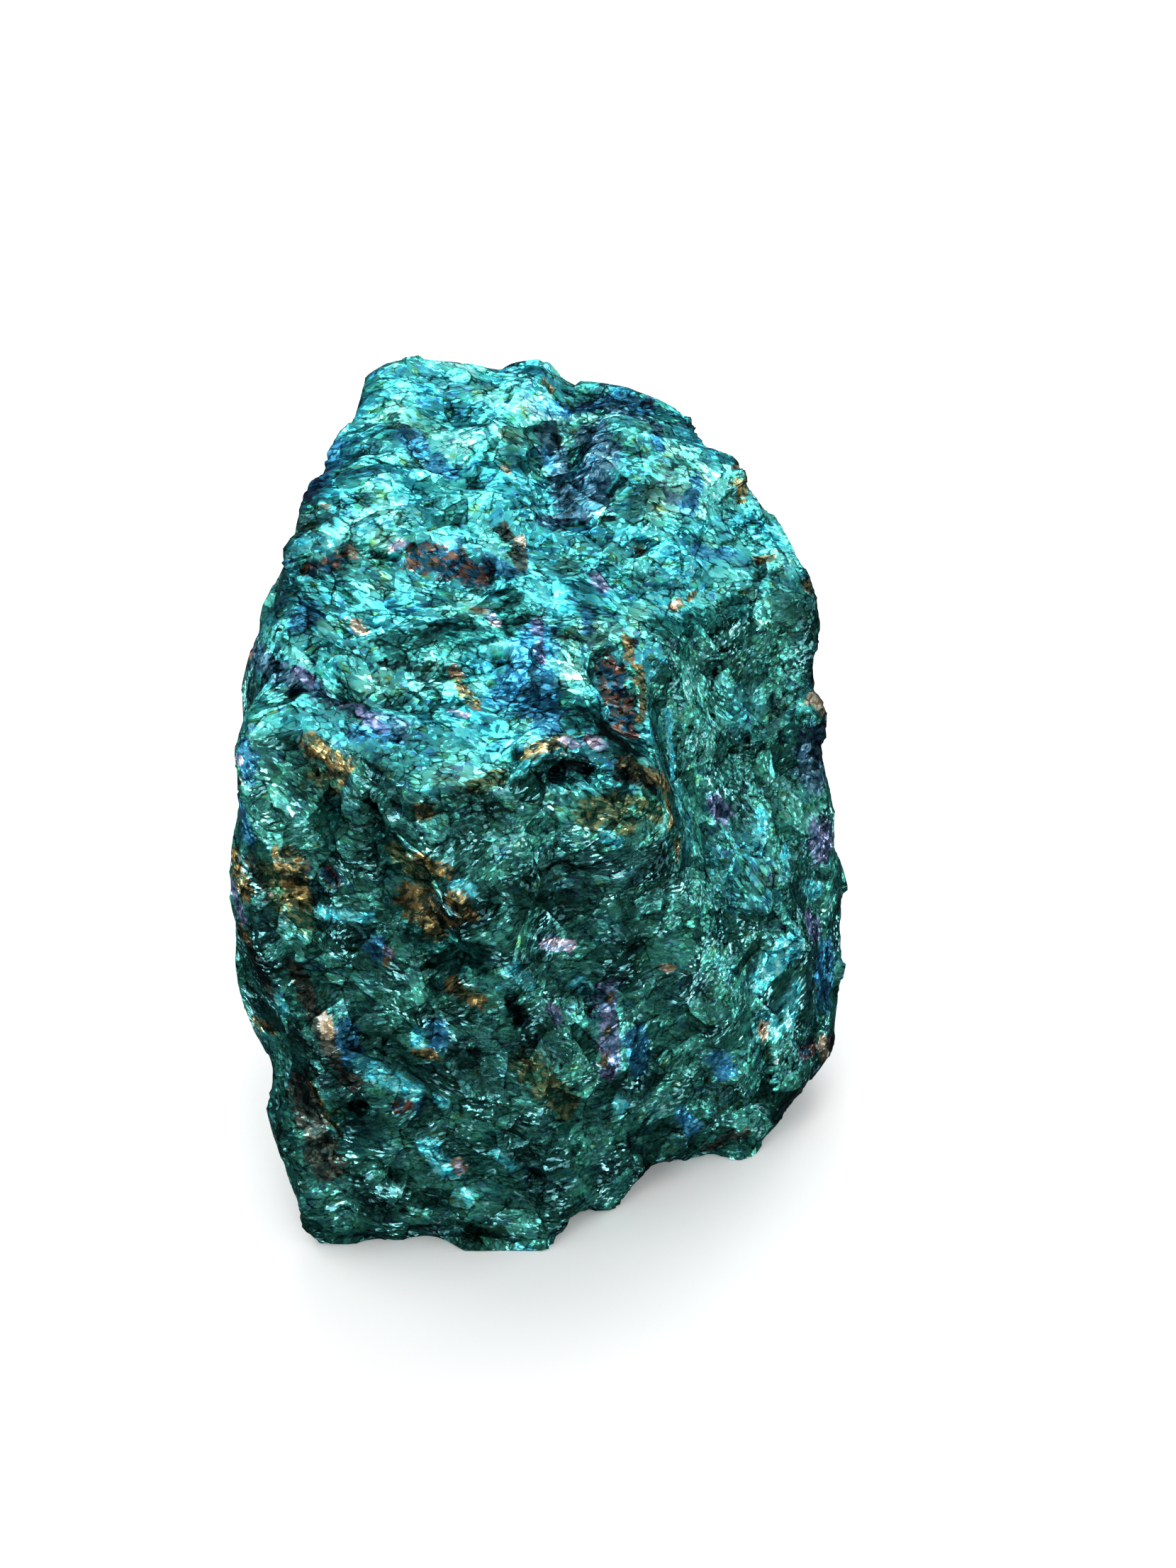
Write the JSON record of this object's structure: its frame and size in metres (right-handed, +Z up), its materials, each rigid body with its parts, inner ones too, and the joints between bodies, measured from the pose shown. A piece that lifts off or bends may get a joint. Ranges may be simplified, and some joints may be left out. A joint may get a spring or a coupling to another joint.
{
  "type": "chalcopyrite specimen",
  "caption": "Rough lump of iridescent chalcopyrite with a crumpled sloping top, a ledge over a slot, pits and gullies, and a small flat spot to stand on.",
  "frame": {"origin": "middle of the footprint, on the surface that the stone stands on", "axes": "+X to the stone's right, +Y away from its front, +Z up"},
  "size_m": [0.0326, 0.0354, 0.0365],
  "materials": {
    "chalcopyrite": "iridescent metallic tarnish"
  },
  "bodies": {
    "root": {"chalcopyrite": "chalcopyrite"}
  },
  "joints": []
}
